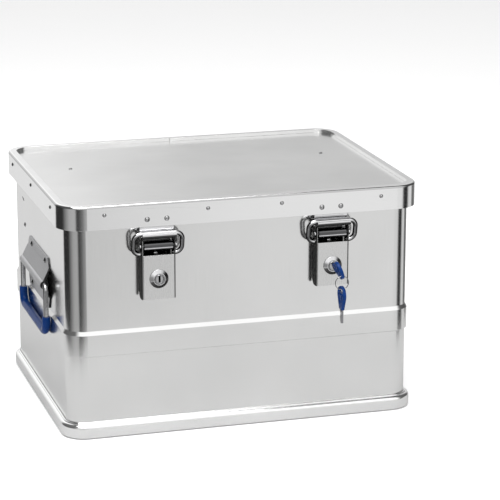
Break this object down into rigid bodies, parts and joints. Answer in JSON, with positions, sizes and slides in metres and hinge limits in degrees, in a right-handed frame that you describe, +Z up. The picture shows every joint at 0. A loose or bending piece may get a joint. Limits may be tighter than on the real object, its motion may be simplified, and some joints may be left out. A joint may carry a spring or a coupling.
{
  "type": "aluminium transport case",
  "caption": "Riveted sheet aluminium transport case with a lift-up lid, two lockable toggle latches with wire bails, and a drop handle on each end.",
  "frame": {"origin": "middle of the case's bottom face, on the plane it stands on", "axes": "+Z up, front with the latches towards -Y, width along X"},
  "size_m": [0.4392, 0.383, 0.277],
  "materials": {
    "body_sheet": "mill finish, lightly brushed",
    "frame_profile": "extruded, smooth",
    "lid_sheet": "mill finish",
    "rivet_metal": "smooth",
    "chrome_wire": "bright plated",
    "latch_plate": "bright plated, darker in the shade of the hook",
    "lever_satin": "satin",
    "lock_metal": "fine turned",
    "key_metal": "nickel plated",
    "zinc_plate": "zinc plated, slightly mottled",
    "handle_steel": "zinc plated wire",
    "blue_plastic": "moulded, fine texture",
    "seal_rubber": "foam rubber",
    "webbing": "woven polyester"
  },
  "bodies": {
    "root": {"body_shell": "body_sheet", "bottom_panel": "body_sheet", "base_rail": "frame_profile", "body_rim": "frame_profile", "strap_left": "webbing", "strap_right": "webbing", "strap_wall_rivets": "rivet_metal", "latch_base_left": "latch_plate", "latch_base_right": "latch_plate", "latch_rivets_left": "rivet_metal", "latch_rivets_right": "rivet_metal", "latch_pin_left": "chrome_wire", "latch_pin_right": "chrome_wire", "handle_bracket_left": "zinc_plate", "handle_bracket_right": "zinc_plate", "handle_rivets_left": "rivet_metal", "handle_rivets_right": "rivet_metal", "hinge_body_leaf_left": "zinc_plate", "hinge_body_leaf_right": "zinc_plate", "hinge_pin_left": "zinc_plate", "hinge_pin_right": "zinc_plate", "hinge_body_rivets": "rivet_metal"},
    "lid": {"lid_panel": "lid_sheet", "lid_frame": "frame_profile", "lid_splice": "frame_profile", "lid_seal": "seal_rubber", "lid_rivets": "rivet_metal", "strap_lid_rivets": "rivet_metal", "strike_hook_left": "chrome_wire", "strike_hook_right": "chrome_wire", "strike_rivets_left": "rivet_metal", "strike_rivets_right": "rivet_metal", "hinge_lid_leaf_left": "zinc_plate", "hinge_lid_leaf_right": "zinc_plate", "hinge_lid_rivets": "rivet_metal"},
    "lever_left": {"latch_lever_left": "lever_satin", "lock_housing_left": "chrome_wire", "lock_nut_left": "lock_metal"},
    "bail_left": {"latch_bail_left": "chrome_wire"},
    "plug_left": {"lock_plug_left": "lock_metal", "lock_cam_left": "lock_metal"},
    "handle_left": {"handle_wire_left": "handle_steel", "handle_grip_left": "blue_plastic"},
    "lever_right": {"latch_lever_right": "lever_satin", "lock_housing_right": "chrome_wire", "lock_nut_right": "lock_metal"},
    "bail_right": {"latch_bail_right": "chrome_wire"},
    "plug_right": {"lock_plug_right": "lock_metal", "lock_cam_right": "lock_metal"},
    "handle_right": {"handle_wire_right": "handle_steel", "handle_grip_right": "blue_plastic"},
    "key": {"key_blade": "key_metal", "key_head": "blue_plastic"},
    "ring": {"key_ring": "key_metal"},
    "spare_key": {"spare_key_blade": "key_metal", "spare_key_head": "blue_plastic"}
  },
  "joints": [
    {"name": "lid_hinge", "type": "hinge", "parent": "root", "child": "lid", "pos_m": [0, 0.163, 0.245], "axis": [-1, 0, 0], "range_deg": [0, 95], "deforming": ["strap_left", "strap_right"]},
    {"name": "latch_left", "type": "hinge", "parent": "root", "child": "lever_left", "pos_m": [-0.104, -0.169, 0.227], "axis": [-1, 0, 0], "range_deg": [0, 95]},
    {"name": "bail_swing_left", "type": "hinge", "parent": "lever_left", "child": "bail_left", "pos_m": [-0.104, -0.1673, 0.2175], "axis": [-1, 0, 0], "range_deg": [-71, 0]},
    {"name": "lock_left", "type": "hinge", "parent": "lever_left", "child": "plug_left", "pos_m": [-0.104, -0.174, 0.189], "axis": [0, -1, 0], "range_deg": [0, 90]},
    {"name": "handle_swing_left", "type": "hinge", "parent": "root", "child": "handle_left", "pos_m": [-0.2145, 0, 0.1595], "axis": [0, 1, 0], "range_deg": [0, 95]},
    {"name": "latch_right", "type": "hinge", "parent": "root", "child": "lever_right", "pos_m": [0.104, -0.169, 0.227], "axis": [-1, 0, 0], "range_deg": [0, 95]},
    {"name": "bail_swing_right", "type": "hinge", "parent": "lever_right", "child": "bail_right", "pos_m": [0.104, -0.1673, 0.2175], "axis": [-1, 0, 0], "range_deg": [-71, 0]},
    {"name": "lock_right", "type": "hinge", "parent": "lever_right", "child": "plug_right", "pos_m": [0.104, -0.174, 0.189], "axis": [0, -1, 0], "range_deg": [-20, 70]},
    {"name": "handle_swing_right", "type": "hinge", "parent": "root", "child": "handle_right", "pos_m": [0.2145, 0, 0.1595], "axis": [0, -1, 0], "range_deg": [0, 95]},
    {"name": "key_slide", "type": "slide", "parent": "plug_right", "child": "key", "axis": [0, -1, 0], "range_m": [0, 0.03]},
    {"name": "ring_swing", "type": "hinge", "parent": "key", "child": "ring", "pos_m": [0.10585, -0.2032, 0.18343], "axis": [1, 0, 0], "range_deg": [-35, 15]},
    {"name": "spare_key_swing", "type": "hinge", "parent": "ring", "child": "spare_key", "pos_m": [0.10585, -0.2032, 0.16743], "axis": [1, 0, 0], "range_deg": [-35, 15]}
  ],
  "couplings": [
    {"joint": "bail_swing_left", "follows": "latch_left", "ratio": -0.74},
    {"joint": "bail_swing_right", "follows": "latch_right", "ratio": -0.74}
  ]
}
